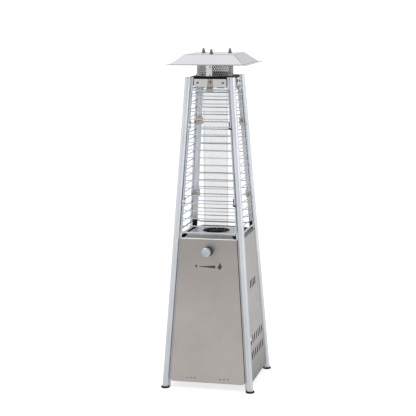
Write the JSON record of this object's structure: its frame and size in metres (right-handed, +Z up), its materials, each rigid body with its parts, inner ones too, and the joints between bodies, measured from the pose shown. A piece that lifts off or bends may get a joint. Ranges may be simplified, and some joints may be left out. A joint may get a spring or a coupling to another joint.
{
  "type": "outdoor gas heater",
  "caption": "Table-height outdoor gas heater: four leaning legs, panelled base with a knob, glass flame tube behind wire guards, flame screen and square hood.",
  "frame": {"origin": "on the floor at the centre of the four feet", "axes": "+Z up, -Y towards the control knob, +X to the right of the knob side"},
  "size_m": [0.2644, 0.2644, 0.931],
  "materials": {
    "leg_aluminium": "satin anodised",
    "foot_plastic": "glossy black",
    "panel_steel": "fine brushed",
    "deck_steel": "fine brushed",
    "guard_wire": "bright zinc",
    "bracket_steel": "satin",
    "nut_steel": "bright",
    "plain_steel": "satin",
    "black_steel": "matt black",
    "tube_glass": "clear",
    "gasket_rubber": "matt",
    "screen_steel": "perforated sheet",
    "hood_steel": "fine satin",
    "brass": "satin",
    "ceramic": "glazed ceramic",
    "knob_chrome": "satin chrome",
    "black_plastic": "moulded"
  },
  "bodies": {
    "heater_frame": {"back_guard": "guard_wire", "back_guard_hook": "bracket_steel", "back_left_foot": "foot_plastic", "back_left_leg": "leg_aluminium", "back_left_lower_clip": "bracket_steel", "back_left_upper_clip": "bracket_steel", "back_panel": "panel_steel", "back_right_foot": "foot_plastic", "back_right_leg": "leg_aluminium", "back_right_lower_clip": "bracket_steel", "back_right_upper_clip": "bracket_steel", "back_top_bracket": "bracket_steel", "base_plate": "black_steel", "burner_deck": "deck_steel", "burner_head": "black_steel", "burner_mixing_tube": "plain_steel", "flame_screen": "screen_steel", "front_guard": "guard_wire", "front_guard_hook": "bracket_steel", "front_left_foot": "foot_plastic", "front_left_leg": "leg_aluminium", "front_left_lower_clip": "bracket_steel", "front_left_upper_clip": "bracket_steel", "front_panel": "panel_steel", "front_right_foot": "foot_plastic", "front_right_leg": "leg_aluminium", "front_right_lower_clip": "bracket_steel", "front_right_upper_clip": "bracket_steel", "front_top_bracket": "bracket_steel", "gas_inlet_pipe": "brass", "glass_tube": "tube_glass", "hood": "hood_steel", "hood_nut_1": "nut_steel", "hood_nut_2": "nut_steel", "hood_nut_3": "nut_steel", "hood_stud_1": "plain_steel", "hood_stud_2": "plain_steel", "hood_stud_3": "plain_steel", "igniter_electrode": "ceramic", "jet_and_feed_pipe": "brass", "knob_bezel": "black_plastic", "left_guard": "guard_wire", "left_guard_hook": "bracket_steel", "left_panel": "panel_steel", "left_top_bracket": "bracket_steel", "right_guard": "guard_wire", "right_guard_hook": "bracket_steel", "right_panel": "panel_steel", "right_top_bracket": "bracket_steel", "thermocouple": "plain_steel", "tilt_switch": "black_plastic", "top_plate": "black_steel", "tube_gasket": "gasket_rubber", "tube_seat_ring": "black_steel", "valve_body": "brass", "valve_bracket": "plain_steel"},
    "valve_rotor": {"valve_rotor": "brass", "return_spring": "plain_steel"},
    "control_knob": {"control_knob": "knob_chrome", "valve_spindle": "plain_steel"}
  },
  "joints": [
    {"name": "control_turn", "type": "hinge", "parent": "heater_frame", "child": "valve_rotor", "pos_m": [0, -0.09332, 0.385], "axis": [0, -0.9976, 0.0691], "range_deg": [0, 210]},
    {"name": "control_push", "type": "slide", "parent": "valve_rotor", "child": "control_knob", "axis": [0, 0.9976, -0.0691], "range_m": [0, 0.004], "stiffness_N_per_m": 500, "springref_m": -0.004, "deforming": ["return_spring"]}
  ]
}
